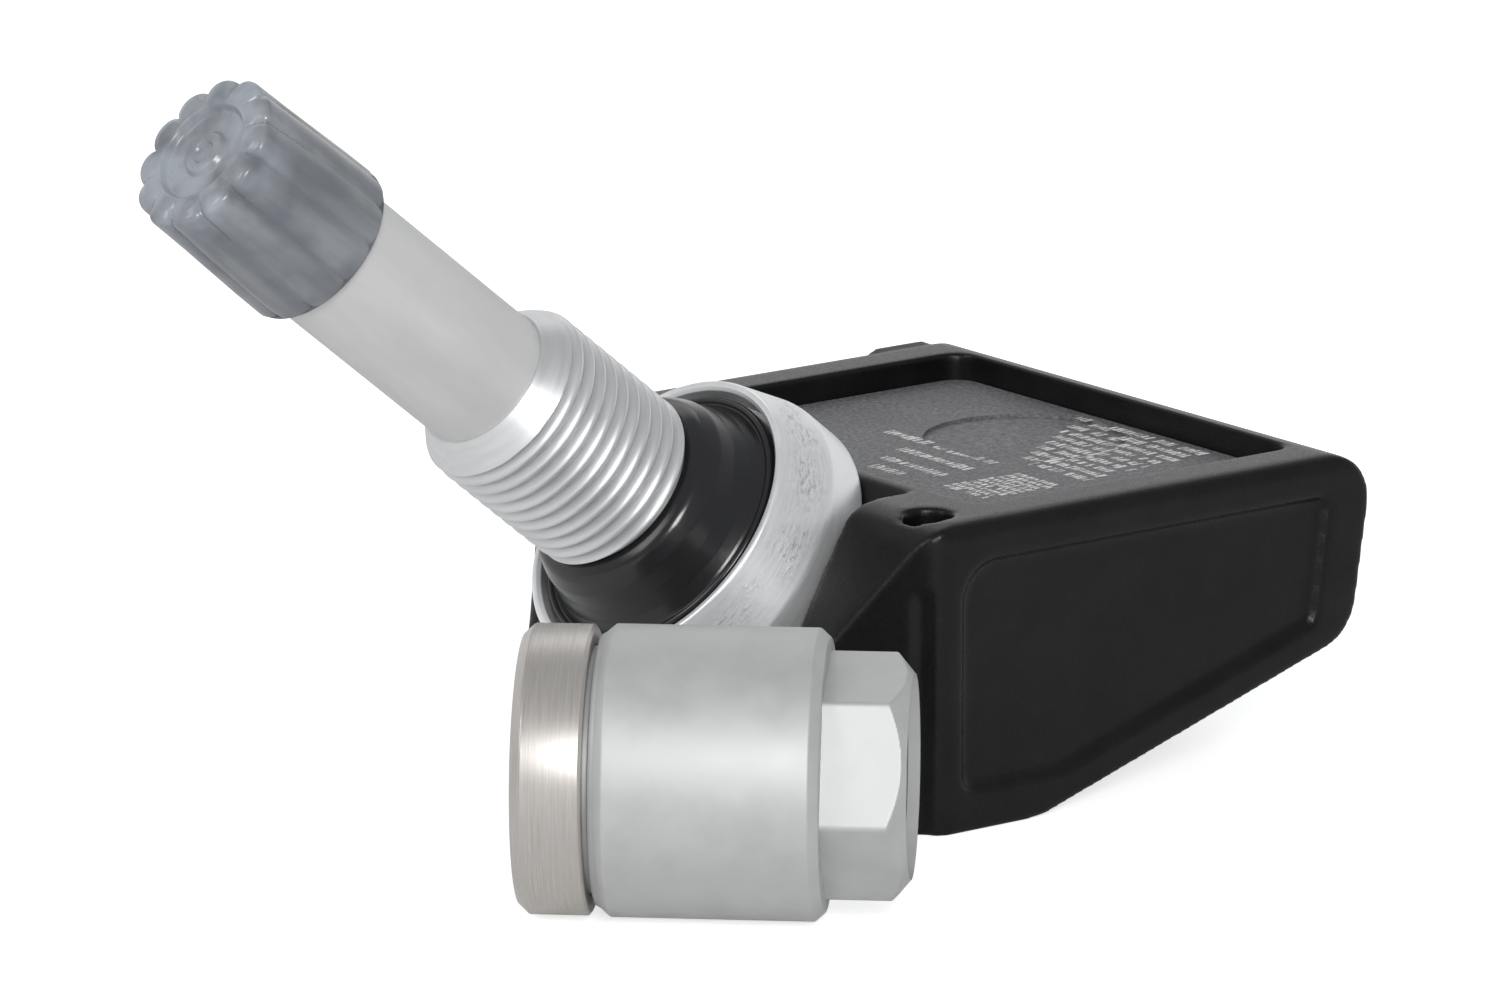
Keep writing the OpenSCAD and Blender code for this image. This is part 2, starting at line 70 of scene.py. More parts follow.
# Camera: a long lens at the photograph's viewing angle
VIEW_AZIMUTH = -37.11
VIEW_ELEVATION = 13.70
VIEW_DISTANCE = 571.3
FOCAL_PIXELS = 10000.0
IMAGE_WIDTH = 1500.0
SENSOR_MM = 36.0
TARGET_RIGHT = 1.58
TARGET_UP = 15.51

# Stations along the stem in millimetres, counted from the seat of the collar
COLLAR_LEN = 7.0
RECESS_DEPTH = 2.4
THREAD_GAP = 3.35
THREAD_LEN = 11.5
THREAD_START_CHAMFER = 0.35
THREAD_CHAMFER = 1.9
SHANK_LEN = 15.8
MOUTH_LEN = 6.6
PITCH = 1.0
CAP_LEN = 9.27

# Radii of the stem, its rim and thread, and the cap
COLLAR_R = 10.05
COLLAR_RIM = 6.4
COLLAR_RIM_R = 9.0
COLLAR_BORE_R = 2.2
RECESS_R = 8.45
NECK_R = 4.95
THREAD_R = 5.5
THREAD_DEPTH = 0.58
THREAD_LEAD = 0.3
THREAD_STEPS = 240
SHANK_R = 4.1
MOUTH_R = 3.85
MOUTH_BORE_R = 2.7
MOUTH_BORE_DEPTH = 5.0
GROMMET_R = 8.1
CAP_R = 4.95
CAP_END_R = 4.72
CAP_SKIRT = 0.45
CAP_OVERLAP = 1.0
CAP_END = COLLAR_LEN + THREAD_GAP + THREAD_LEN + SHANK_LEN - CAP_OVERLAP + CAP_LEN
CAP_SHOULDER = 1.8
CAP_LOBES = 12
LOBE_DEPTH = 0.5
LOBE_INNER_R = 3.3
LOBE_FADE = 0.9
LOBE_PHASE = math.radians(9)

# Shares of the lobes' depth: all along, added at the closed end, and added at the skirt
LOBE_ALONG = 0.42
LOBE_AT_END = 0.9
LOBE_AT_SKIRT = 0.35

# Stations of the loose nut, counted from its washer end
WASHER_LEN = 3.9
GROOVE = 0.6
NUT_LEN = 12.1
HEX_LEN = 4.6
NUT_R = 7.95
WASHER_R = 7.9
NUT_HUB_R = 6.75
NUT_LIP_R = 7.05
NUT_MOUTH_R = 6.2
HEX_FLAT = 5.9
HEX_CHAMFER = 1.1
NUT_BORE_R = 4.96
NUT_MOUNT = 13.22
HEX_TURN = math.radians(10)

# Even mesh of the housing, and the radius of its long top edges
VOXEL = 0.2
SMOOTH_STEPS = 14
KEPT_FACES = 0.4
EDGE_ROUND = 0.9

# Round mark in the cover, and the heights and places of the print's rows
DISC_X = 22.67
DISC_Y = 0.90
DISC_R = 5.8
DISC_DEPTH = 0.2
PRINT_LIFT = 0.012
LONG_ROW = 0.86
SHORT_ROW = 0.95
BLOCK_ROW = 0.58
SHORT_ROWS = ((17.3, 6.9, -3.4), (15.2, 3.0, -3.6), (13.1, 1.9, -4.1), (11.4, 0.7, -2.6))

# Edges sharper than this stay sharp, and corners flatter than the second stay as they are
SHARP_ANGLE = math.radians(32)
FLAT_CORNER = math.radians(88)

# The most of a side that one fillet takes
MAX_CUT = 0.48

# Floor in metres, the light it adds where it is seen, and the share of that in reflections
FLOOR_HALF = 3.0
FLOOR_GLOW = 0.7
MIRRORED_GLOW = 0.2

# World: the side on which metal reflects a white sheet, and the light from all round
SHEET_SIDE = (0.6, 0.8, 0)
STUDIO_COLOUR = (0.95, 0.97, 1.0, 1)
STUDIO_STRENGTH = 0.42
WHITE = (1, 1, 1, 1)

# Lights: name, azimuth, elevation, width and height in metres, and watts
LIGHT_DISTANCE = 1.0
LIGHTS = (("key", -33, 25, (0.3, 0.3), 5.6),
          ("side", -98, 32, (0.4, 0.4), 2.2),
          ("back", 150, 45, (0.6, 0.4), 0.8))

record = frame["record"]
mounts = {m["name"]: m for m in record["mounts"]}


class Axis:
    """A frame along a line: places points from a radius, a station and an angle."""

    def __init__(self, point, direction):
        self.along = Vector(direction).normalized()
        helper = Vector((0, 1, 0)) if abs(self.along.y) < 0.5 else Vector((0, 0, 1))
        self.side = helper.cross(self.along).normalized()
        self.up = self.along.cross(self.side)
        self.origin = Vector(point)

    def at(self, radius, station, angle):
        out = self.side * math.cos(angle) + self.up * math.sin(angle)
        return self.origin + (self.along * station + out * radius) * MM


def stem_axis():
    """The mount stands halfway along the full thread of the solid."""
    mount = mounts["clamp_thread"]
    first = COLLAR_LEN + THREAD_GAP + THREAD_START_CHAMFER
    last = COLLAR_LEN + THREAD_GAP + THREAD_LEN - THREAD_CHAMFER
    along = Vector(mount["axis"])
    return Axis(Vector(mount["pos_m"]) - along * (first + last) / 2 * MM, along)


def nut_axis():
    mount = mounts["nut_thread"]
    along = Vector(mount["axis"])
    return Axis(Vector(mount["pos_m"]) - along * NUT_MOUNT * MM, along)


STEM = stem_axis()
NUT = nut_axis()


# Mesh helpers
def soften(corners, steps=4):
    """Turn (radius, station, fillet) corners of an open outline into points."""
    points = []
    last = len(corners) - 1
    for i, (r, z, fillet) in enumerate(corners):
        here = Vector((r, z))
        if fillet <= 0 or i in (0, last):
            points.append((r, z))
            continue
        before = Vector(corners[i - 1][:2]) - here
        after = Vector(corners[i + 1][:2]) - here
        half = before.angle(after) / 2
        if half > FLAT_CORNER:
            points.append((r, z))
            continue
        cut = min(fillet / math.tan(half), before.length * MAX_CUT, after.length * MAX_CUT)
        a = here + before.normalized() * cut
        b = here + after.normalized() * cut
        for k in range(steps + 1):
            t = k / steps
            p = a * (1 - t) ** 2 + here * 2 * t * (1 - t) + b * t * t
            points.append((p.x, p.y))
    return points


def lathe(name, axis, outline, segments, shape=None, closed=False, capped=False):
    """Turn an outline of (radius, station) points; shape bends the radius by angle."""
    mesh = bpy.data.meshes.new(name)
    verts = []
    for r, z in outline:
        for k in range(segments):
            angle = 2 * math.pi * k / segments
            radius, station = shape(r, z, angle) if shape else (r, z)
            verts.append(axis.at(radius, station, angle))
    faces = []
    rows = len(outline)
    for i in range(rows if closed else rows - 1):
        j = (i + 1) % rows
        for k in range(segments):
            n = (k + 1) % segments
            faces.append((i * segments + k, j * segments + k, j * segments + n, i * segments + n))
    for row in (0, rows - 1) if capped else ():
        centre = len(verts)
        ring = range(row * segments, (row + 1) * segments)
        verts.append(sum((verts[v] for v in ring), Vector()) / segments)
        for k in range(segments):
            n = (k + 1) % segments
            pair = (row * segments + k, row * segments + n)
            faces.append((centre, *(pair if row == 0 else pair[::-1])))
    mesh.from_pydata(verts, [], faces)
    return finish_mesh(name, mesh)


def new_object(name, data):
    obj = bpy.data.objects.new(name, data)
    bpy.context.scene.collection.objects.link(obj)
    return obj


def finish_mesh(name, mesh):
    """An object with outward faces, smooth except over its sharp edges."""
    obj = new_object(name, mesh)
    bm = bmesh.new()
    bm.from_mesh(mesh)
    bmesh.ops.recalc_face_normals(bm, faces=bm.faces)
    bm.to_mesh(mesh)
    bm.free()
    mesh.shade_smooth()
    mesh.set_sharp_from_angle(angle=SHARP_ANGLE)
    return obj


def apply_modifier(obj, kind, **settings):
    modifier = obj.modifiers.new(kind.lower(), kind)
    for key, value in settings.items():
        setattr(modifier, key, value)
    with bpy.context.temp_override(object=obj, active_object=obj):
        bpy.ops.object.modifier_apply(modifier=modifier.name)


def copied(node, name):
    """A copy of a CAD node's mesh under its own name."""
    mesh = frame["nodes"][node].data.copy()
    mesh.name = name
    return mesh


def moulded(node, name, reshape):
    """A copy of a CAD node with even faces and softly rounded edges."""
    mesh = copied(node, name)
    bm = bmesh.new()
    bm.from_mesh(mesh)
    bmesh.ops.remove_doubles(bm, verts=bm.verts, dist=1e-6)
    bm.to_mesh(mesh)
    bm.free()
    obj = new_object(name, mesh)
    apply_modifier(obj, "REMESH", mode="VOXEL", voxel_size=VOXEL * MM)
    for vertex in obj.data.vertices:
        vertex.co = reshape(vertex.co)
    apply_modifier(obj, "SMOOTH", factor=0.5, iterations=SMOOTH_STEPS)
    apply_modifier(obj, "DECIMATE", ratio=KEPT_FACES)
    obj.data.shade_smooth()
    return obj


def dress(obj, material):
    obj.data.materials.clear()
    obj.data.materials.append(material)


def fit(obj, body, node):
    """The piece rides on its body and stands for its CAD node."""
    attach(obj, body)
    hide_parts(node)


# Material helpers: colours are linear, noise scales are per millimetre, bump heights in millimetres
class Tree:
    """A short way to write a node tree."""

    def __init__(self, tree):
        self.tree = tree

    def add(self, kind, **values):
        node = self.tree.nodes.new(kind)
        for key, value in values.items():
            setattr(node, key, value)
        return node

    def link(self, a, b):
        self.tree.links.new(a, b)

    def ramp(self, value, low, high, out_low=0.0, out_high=1.0):
        node = self.add("ShaderNodeMapRange")
        node.inputs["From Min"].default_value = low
        node.inputs["From Max"].default_value = high
        node.inputs["To Min"].default_value = out_low
        node.inputs["To Max"].default_value = out_high
        self.link(value, node.inputs["Value"])
        return node.outputs["Result"]

    def maths(self, operation, a, b):
        node = self.add("ShaderNodeMath", operation=operation)
        for socket, value in zip(node.inputs, (a, b)):
            if isinstance(value, (int, float)):
                socket.default_value = value
            else:
                self.link(value, socket)
        return node.outputs[0]


class Finish(Tree):
    """A material whose pattern follows object coordinates."""

    def __init__(self, name):
        self.material = bpy.data.materials.new(name)
        self.material.use_nodes = True
        super().__init__(self.material.node_tree)
        self.bsdf = self.tree.nodes["Principled BSDF"]

    def place(self, scale=(1, 1, 1), axis=None):
        """Object coordinates in millimetres, turned so that Z runs along the axis."""
        coords = self.add("ShaderNodeTexCoord")
        mapping = self.add("ShaderNodeMapping")
        self.link(coords.outputs["Object"], mapping.inputs["Vector"])
        if axis is not None:
            turn = Matrix((axis.side, axis.up, axis.along))
            moved = turn @ axis.origin
            mapping.inputs["Rotation"].default_value = turn.to_euler()
            mapping.inputs["Location"].default_value = -moved
        stretch = self.add("ShaderNodeVectorMath", operation="MULTIPLY")
        stretch.inputs[1].default_value = [v / MM for v in scale]
        self.link(mapping.outputs[0], stretch.inputs[0])
        return stretch.outputs[0]

    def around(self, axis, along_ring, along_axis, radius):
        """Coordinates in millimetres round and along an axis, each times its own factor."""
        parts = self.add("ShaderNodeSeparateXYZ")
        self.link(self.place((1, 1, 1), axis), parts.inputs[0])
        angle = self.maths("ARCTAN2", parts.outputs["Y"], parts.outputs["X"])
        both = self.add("ShaderNodeCombineXYZ")
        self.link(self.maths("MULTIPLY", angle, radius * along_ring), both.inputs[0])
        self.link(self.maths("MULTIPLY", parts.outputs["Z"], along_axis), both.inputs[1])
        return both.outputs[0], parts.outputs["Z"]

    def noise(self, vector, scale, detail=3.0, roughness=0.55):
        node = self.add("ShaderNodeTexNoise")
        node.inputs["Scale"].default_value = scale
        node.inputs["Detail"].default_value = detail
        node.inputs["Roughness"].default_value = roughness
        self.link(vector, node.inputs["Vector"])
        return node.outputs["Fac"]

    def mix(self, factor, a, b):
        node = self.add("ShaderNodeMix", data_type="RGBA")
        self.link(factor, node.inputs["Factor"])
        for socket, value in ((node.inputs["A"], a), (node.inputs["B"], b)):
            if isinstance(value, tuple):
                socket.default_value = (*value, 1)
            else:
                self.link(value, socket)
        return node.outputs["Result"]

    def bump(self, height, strength, distance=0.02):
        node = self.add("ShaderNodeBump")
        node.inputs["Strength"].default_value = strength
        node.inputs["Distance"].default_value = distance * MM
        self.link(height, node.inputs["Height"])
        if self.bsdf.inputs["Normal"].is_linked:
            before = self.bsdf.inputs["Normal"].links[0].from_socket
            self.link(before, node.inputs["Normal"])
        self.link(node.outputs["Normal"], self.bsdf.inputs["Normal"])

    def colour(self, value):
        socket = self.bsdf.inputs["Base Color"]
        if isinstance(value, tuple):
            socket.default_value = (*value, 1)
        else:
            self.link(value, socket)

    def rough(self, value):
        socket = self.bsdf.inputs["Roughness"]
        if isinstance(value, float):
            socket.default_value = value
        else:
            self.link(value, socket)

    def metal(self, value):
        self.bsdf.inputs["Metallic"].default_value = value


def housing_plastic():
    m = Finish("housing_plastic")
    p = m.place()
    grain = m.noise(p, 7.0, 4.0)
    cloud = m.noise(p, 0.35, 3.0)
    m.colour(m.mix(m.ramp(cloud, 0.35, 0.7), (0.003, 0.003, 0.0032), (0.006, 0.006, 0.0065)))
    m.rough(m.ramp(grain, 0.3, 0.7, 0.26, 0.4))
    m.bsdf.inputs["Specular IOR Level"].default_value = 0.23
    m.bump(grain, 0.5, 0.03)
    return m.material


def cover_plastic():
    m = Finish("cover_plastic")
    p = m.place()
    speck = m.noise(p, 3.4, 4.0, 0.78)
    cloud = m.noise(p, 0.4, 2.0)
    base = m.mix(m.ramp(speck, 0.42, 0.62), (0.085, 0.085, 0.09), (0.225, 0.225, 0.23))
    m.colour(m.mix(m.ramp(cloud, 0.3, 0.8, 0.0, 0.45), base, (0.09, 0.09, 0.095)))
    m.rough(0.58)
    m.bump(speck, 0.6, 0.05)
    return m.material


def etched_print():
    m = Finish("etched_print")
    p = m.place()
    broken = m.noise(p, 3.5, 4.0, 0.75)
    m.colour(m.mix(m.ramp(broken, 0.38, 0.56), (0.34, 0.34, 0.34), (0.84, 0.83, 0.8)))
    m.rough(0.7)
    return m.material


def cap_plastic():
    m = Finish("cap_plastic")
    p = m.place((1, 1, 0.12), STEM)
    streak = m.noise(p, 0.8, 3.0, 0.5)
    cloud = m.noise(m.place(), 0.3, 2.0)
    base = m.mix(m.ramp(streak, 0.35, 0.65), (0.155, 0.165, 0.18), (0.235, 0.245, 0.26))
    dull = m.mix(m.ramp(cloud, 0.45, 0.7, 0.0, 0.6), base, (0.1, 0.115, 0.14))
    level = m.around(STEM, 1.0, 1.0, CAP_R)[1]
    # Lighter bluish patches towards the closed end: a painted reflection on the glossy plastic.
    reflection_near_end = m.ramp(level, CAP_END - 3.2, CAP_END - 0.8)
    patches = m.ramp(m.noise(m.place(), 0.4, 2.0, 0.5), 0.35, 0.68, 0.0, 0.8)
    m.colour(m.mix(m.maths("MULTIPLY", reflection_near_end, patches), dull, (0.36, 0.39, 0.43)))
    m.rough(m.ramp(cloud, 0.3, 0.7, 0.2, 0.32))
    m.bump(streak, 0.3, 0.08)
    return m.material


def shank_metal():
    m = Finish("shank_metal")
    p = m.place((1, 1, 0.3), STEM)
    cloud = m.noise(p, 0.5, 3.0)
    grain = m.noise(m.place(), 11.0, 3.0)
    m.colour(m.mix(m.ramp(cloud, 0.3, 0.75), (0.6, 0.6, 0.59), (0.66, 0.66, 0.65)))
    m.metal(0.25)
    m.rough(m.ramp(grain, 0.3, 0.7, 0.42, 0.56))
    m.bump(grain, 0.12, 0.02)
    return m.material


def thread_metal():
    m = Finish("thread_metal")
    ring = m.around(STEM, 0.15, 2.0, THREAD_R)[0]
    lines = m.noise(ring, 1.5, 3.0)
    m.colour(m.mix(m.ramp(lines, 0.3, 0.7), (0.62, 0.625, 0.63), (0.7, 0.705, 0.71)))
    m.metal(0.7)
    m.rough(m.ramp(lines, 0.3, 0.7, 0.37, 0.44))
    return m.material


def collar_metal():
    m = Finish("collar_metal")
    ring = m.around(STEM, 1.1, 3.6, COLLAR_R)[0]
    scuff = m.noise(ring, 1.5, 5.0, 0.7)
    patches = m.noise(m.place(), 0.45, 2.0)
    turned, level = m.around(STEM, 0.2, 3.0, COLLAR_R)
    lines = m.noise(turned, 1.6, 4.0, 0.65)
    fine = m.noise(m.place(), 6.0, 4.0, 0.7)
    low = m.ramp(level, 3.0, 4.2)
    high = m.ramp(level, 5.0, 6.0, 1.0, 0.0)
    band = m.maths("MULTIPLY", m.maths("MULTIPLY", low, high), m.ramp(patches, 0.36, 0.6))
    marks = m.maths("MULTIPLY", m.ramp(scuff, 0.46, 0.7), band)
    base = m.mix(m.ramp(lines, 0.3, 0.7), (0.76, 0.765, 0.77), (0.86, 0.865, 0.87))
    m.colour(m.mix(marks, base, (0.3, 0.3, 0.31)))
    m.metal(0.6)
    m.rough(m.ramp(lines, 0.35, 0.7, 0.3, 0.44))
    m.bump(marks, 0.3, 0.06)
    m.bump(fine, 0.3, 0.02)
    return m.material


def rubber(name="grommet_rubber", gloss=0.16):
    m = Finish(name)
    p = m.place()
    cloud = m.noise(p, 0.5, 3.0)
    dust = m.noise(p, 4.5, 5.0, 0.75)
    m.colour(m.mix(m.ramp(dust, 0.64, 0.8), (0.011, 0.011, 0.012), (0.035, 0.035, 0.037)))
    m.rough(m.ramp(cloud, 0.3, 0.7, gloss, gloss + 0.1))
    m.bsdf.inputs["Specular IOR Level"].default_value = 0.5
    m.bump(cloud, 0.3, 0.06)
    return m.material


def nut_metal():
    m = Finish("nut_metal")
    rings = m.noise(m.place((0.25, 0.25, 16.0), NUT), 1.0, 3.0)
    cloud = m.noise(m.place(), 0.4, 3.0)
    m.colour(m.mix(m.ramp(cloud, 0.3, 0.75), (0.47, 0.475, 0.47), (0.54, 0.545, 0.54)))
    m.metal(0.55)
    m.rough(m.ramp(cloud, 0.3, 0.7, 0.52, 0.6))
    m.bump(rings, 0.12, 0.012)
    return m.material


def washer_metal():
    m = Finish("washer_metal")
    rings = m.noise(m.place((0.2, 0.2, 9.0), NUT), 1.4, 4.0, 0.7)
    m.colour(m.mix(m.ramp(rings, 0.3, 0.7), (0.42, 0.4, 0.375), (0.55, 0.52, 0.495)))
    m.metal(0.7)
    m.rough(0.36)
    m.bump(rings, 0.3, 0.015)
    return m.material


def plain(name, colour, metallic, roughness):
    """A finish for the pieces that hardly show."""
    m = Finish(name)
    value = m.noise(m.place(), 5.0)
    darker = tuple(c * 0.85 for c in colour)
    m.colour(m.mix(m.ramp(value, 0.3, 0.7), darker, colour))
    m.metal(metallic)
    m.rough(roughness)
    m.bump(value, 0.1, 0.02)
    return m.material


# Valve cap
def cap_lobe(angle):
    """0 in a valley between two lobes and 1 over the crown of a lobe."""
    return abs(math.sin(CAP_LOBES * (angle - LOBE_PHASE) / 2)) ** 0.42


def make_cap():
    start = CAP_END - CAP_LEN - CAP_SKIRT
    end = CAP_END
    shoulder = end - CAP_SHOULDER

    def shape(r, z, angle):
        inside = r < SHANK_R + 0.2 and z < end - 2
        if inside or r < LOBE_INNER_R or z < start + 0.02:
            return r, z
        valley = (1 - cap_lobe(angle)) * min(1.0, (r - LOBE_INNER_R) / LOBE_FADE)
        rise = max(0.0, (z - shoulder) / (end - shoulder))
        skirt = max(0.0, 1 - (z - start) / 0.8)
        share = LOBE_ALONG + LOBE_AT_END * rise ** 1.5 + LOBE_AT_SKIRT * skirt
        dip = valley * LOBE_DEPTH * share
        return r - dip, z - 0.3 * valley * rise

    outer = [(CAP_R - 0.35, start, 0.0), (CAP_R, start, 0.25)]
    skirt_end = start + 0.9
    outer += [(CAP_R - 0.02, skirt_end, 0.0)]
    outer += [(CAP_R + (CAP_END_R - CAP_R) * k / 6, skirt_end + (shoulder - skirt_end) * k / 6, 0)
              for k in range(1, 6)]
    outer += [(CAP_END_R, end - 0.18, 0.5), (CAP_END_R - 0.7, end, 0.4), (3.0, end - 0.05, 0.25),
              (2.75, end - 0.55, 0.25), (1.45, end - 0.6, 0.2), (1.2, end - 0.2, 0.2),
              (0.75, end - 0.2, 0.15), (0.6, end - 0.4, 0.1), (0.2, end - 0.4, 0)]
    ceiling = start + CAP_LEN - 1.1
    inner = [(0.3, ceiling, 0.0), (MOUTH_R, ceiling, 0.1),
             (MOUTH_R + 0.05, start + 1.4, 0.1), (SHANK_R + 0.15, start + 1.35, 0.1),
             (SHANK_R + 0.15, start + 0.2, 0.1), (CAP_R - 0.36, start, 0.0)]
    points = soften(inner, 2) + soften(outer, 6)
    cap = lathe("valve_cap_moulded", STEM, points, 384, shape, capped=True)
    dress(cap, cap_plastic())
    fit(cap, "cap", "valve_cap")


# Valve stem: collar, neck, clamp thread and shank
def thread_profile(phase):
    """Height of a rounded thread, 0 at the narrow root and 1 at the broad crest."""
    return abs(math.sin(math.pi * phase)) ** 0.8


def make_stem():
    thread_start = COLLAR_LEN + THREAD_GAP
    thread_end = thread_start + THREAD_LEN
    shank_end = thread_end + SHANK_LEN
    mouth_end = shank_end + MOUTH_LEN

    body = soften([
        (NECK_R, COLLAR_LEN - RECESS_DEPTH, 0),
        (NECK_R, thread_start - THREAD_LEAD, 0.05),
        (THREAD_R - THREAD_DEPTH, thread_start - THREAD_LEAD + 0.02, 0.05)], 2)
    first_turn = thread_start - THREAD_LEAD + 0.05
    threaded_len = THREAD_LEN + THREAD_LEAD - 0.1
    thread = [(THREAD_R, first_turn + threaded_len * k / THREAD_STEPS)
              for k in range(THREAD_STEPS + 1)]

    def thread_shape(r, z, angle):
        if r != THREAD_R:
            return r, z
        helix = thread_profile((z - thread_start) / PITCH - angle / (2 * math.pi))
        radius = THREAD_R - THREAD_DEPTH * (1 - helix)
        chamfer = SHANK_R + 0.1 + (thread_end - z) * (THREAD_R - SHANK_R) / THREAD_CHAMFER
        lead = THREAD_R - THREAD_DEPTH + (z - thread_start + THREAD_LEAD) * 1.2
        return min(radius, chamfer, lead), z

    threaded = lathe("clamp_thread_turned", STEM, body + thread, 200, thread_shape, capped=True)
    dress(threaded, thread_metal())

    shank = lathe("shank_turned", STEM, soften([
        (NECK_R - 1.2, thread_end - 0.3, 0),
        (SHANK_R, thread_end - 0.25, 0.05),
        (SHANK_R, shank_end - 0.05, 0.1),
        (MOUTH_R, shank_end + 0.3, 0.1),
        (MOUTH_R, mouth_end - 0.5, 0.1),
        (MOUTH_R - 0.5, mouth_end, 0.1),
        (MOUTH_BORE_R, mouth_end, 0.05),
        (MOUTH_BORE_R - 0.05, mouth_end - MOUTH_BORE_DEPTH, 0)]), 160)
    dress(shank, shank_metal())

    floor = COLLAR_LEN - RECESS_DEPTH
    collar = lathe("collar_turned", STEM, soften([
        (COLLAR_BORE_R, 0.0, 0),
        (COLLAR_R, 0.0, 0.5),
        (COLLAR_R, COLLAR_LEN * 0.42, 1.5),
        (COLLAR_RIM_R, COLLAR_RIM, 0.3),
        (RECESS_R + 0.2, COLLAR_RIM, 0.08),
        (RECESS_R, COLLAR_RIM - 0.2, 0.1),
        (RECESS_R, floor, 0.1),
        (NECK_R - 0.4, floor, 0)], 6), 256)
    dress(collar, collar_metal())

    for piece in (threaded, shank, collar):
        fit(piece, "sensor", "valve_stem")


def make_grommet():
    base = COLLAR_LEN - RECESS_DEPTH
    thread_start = COLLAR_LEN + THREAD_GAP
    outline = soften([
        (NECK_R + 0.03, base + 0.05, 0),
        (GROMMET_R, base + 0.05, 0.2),
        (GROMMET_R, COLLAR_LEN - 0.9, 0.3),
        (7.85, COLLAR_LEN - 0.75, 0.2),
        (7.6, COLLAR_LEN - 1.0, 0.15),
        (7.45, COLLAR_LEN - 0.8, 0.15),
        (7.1, COLLAR_LEN - 0.2, 0.6),
        (6.75, COLLAR_LEN + 0.7, 0.8),
        (6.5, COLLAR_LEN + 1.7, 1.2),
        (6.0, thread_start - 0.7, 1.0),
        (5.35, thread_start - 0.36, 0.3),
        (NECK_R + 0.03, thread_start - 0.36, 0)], 6)
    grommet = lathe("grommet_moulded", STEM, outline, 224, closed=True)
    dress(grommet, rubber())
    fit(grommet, "sensor", "grommet")


# Loose nut and its captive washer
def make_nut():
    shoulder = WASHER_LEN + GROOVE
    round_end = shoulder + NUT_LEN
    nut_end = round_end + HEX_LEN
    corner = HEX_FLAT / math.cos(math.pi / 6)

    def hex_radius(angle):
        folded = (angle - HEX_TURN) % (math.pi / 3) - math.pi / 6
        return min(HEX_FLAT / math.cos(folded), corner - 0.06)

    def shape(r, z, angle):
        if r != corner:
            return r, z
        cone = HEX_FLAT - 0.32 + (nut_end - z) * 1.2
        return min(hex_radius(angle), cone), z

    round_part = soften([
        (6.0, 0.3, 0),
        (NUT_LIP_R, 0.3, 0.1),
        (NUT_LIP_R, 0.75, 0.05),
        (NUT_HUB_R, 0.75, 0.05),
        (NUT_HUB_R, shoulder - 0.35, 0.05),
        (7.35, shoulder - 0.3, 0.1),
        (7.5, shoulder - 0.02, 0.1),
        (NUT_R, shoulder + 0.5, 0.2),
        (NUT_R, round_end - 0.55, 0.25),
        (NUT_R - 0.5, round_end, 0.12),
        (corner + 0.01, round_end + 0.001, 0)], 4)
    hex_part = [(corner, round_end + 0.002)]
    hex_part += [(corner, nut_end - HEX_CHAMFER + HEX_CHAMFER * k / 14) for k in range(15)]
    bore = soften([
        (5.6, nut_end, 0.1),
        (NUT_BORE_R, nut_end - 0.65, 0.1),
        (NUT_BORE_R, 5.8, 0.1),
        (NUT_MOUTH_R, 4.5, 0.1),
        (NUT_MOUTH_R, 0.5, 0.1),
        (6.0, 0.3, 0)], 3)
    nut = lathe("collar_nut_turned", NUT, round_part + hex_part + bore, 360, shape, closed=True)
    dress(nut, nut_metal())
    # The faces inside the bore get a dark grey finish: painted shade for the deep threaded bore.
    nut.data.materials.append(plain("bore_painted_shade", (0.16, 0.16, 0.16), 0.5, 0.45))
    for face in nut.data.polygons:
        out = face.center - NUT.origin
        if (out - NUT.along * out.dot(NUT.along)).length < (NUT_BORE_R + 0.14) * MM:
            face.material_index = 1
    fit(nut, "sensor", "collar_nut")

    ring = soften([
        (7.35, 1.0, 0),
        (7.35, 0.1, 0.1),
        (WASHER_R - 0.55, 0.0, 0.12),
        (WASHER_R, 0.6, 0.15),
        (WASHER_R, WASHER_LEN - 0.15, 0.12),
        (WASHER_R - 0.2, WASHER_LEN, 0.08),
        (NUT_HUB_R + 0.07, WASHER_LEN, 0.08),
        (NUT_HUB_R + 0.07, 1.0, 0.05)], 4)
    washer = lathe("nut_washer_turned", NUT, ring, 256, closed=True)
    dress(washer, washer_metal())
    fit(washer, "washer", "nut_washer")


# Housing and its cover
def make_housing():
    low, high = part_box("housing")
    side = -low.y

    def reshape(co):
        """Round the two long top edges, which the solid leaves sharp."""
        from_top = high.z - co.z
        from_side = side - abs(co.y)
        radius = EDGE_ROUND * MM
        if from_side < -0.1 * MM or from_side > radius or from_top > radius:
            return co
        across = radius - from_side
        above = radius - from_top
        reach = math.hypot(across, above)
        if reach <= radius:
            return co
        pull = radius / reach
        y = side - radius + across * pull
        return Vector((co.x, math.copysign(y, co.y), high.z - radius + above * pull))

    housing = moulded("housing", "housing_moulded", reshape)
    dress(housing, housing_plastic())
    fit(housing, "sensor", "housing")


def make_cover():
    """The cover's mesh with the round mark inside its ring pressed down as one disc."""
    mesh = copied("cover", "cover_moulded")
    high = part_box("cover")[1]
    middle = Vector((DISC_X, DISC_Y)) * MM
    for vertex in mesh.vertices:
        away = (vertex.co.xy - middle).length
        if away < DISC_R * MM and vertex.co.z > high.z - DISC_DEPTH * MM / 2:
            vertex.co.z = high.z - DISC_DEPTH * MM
    cover = new_object("cover_moulded", mesh)
    dress(cover, cover_plastic())
    fit(cover, "sensor", "cover")


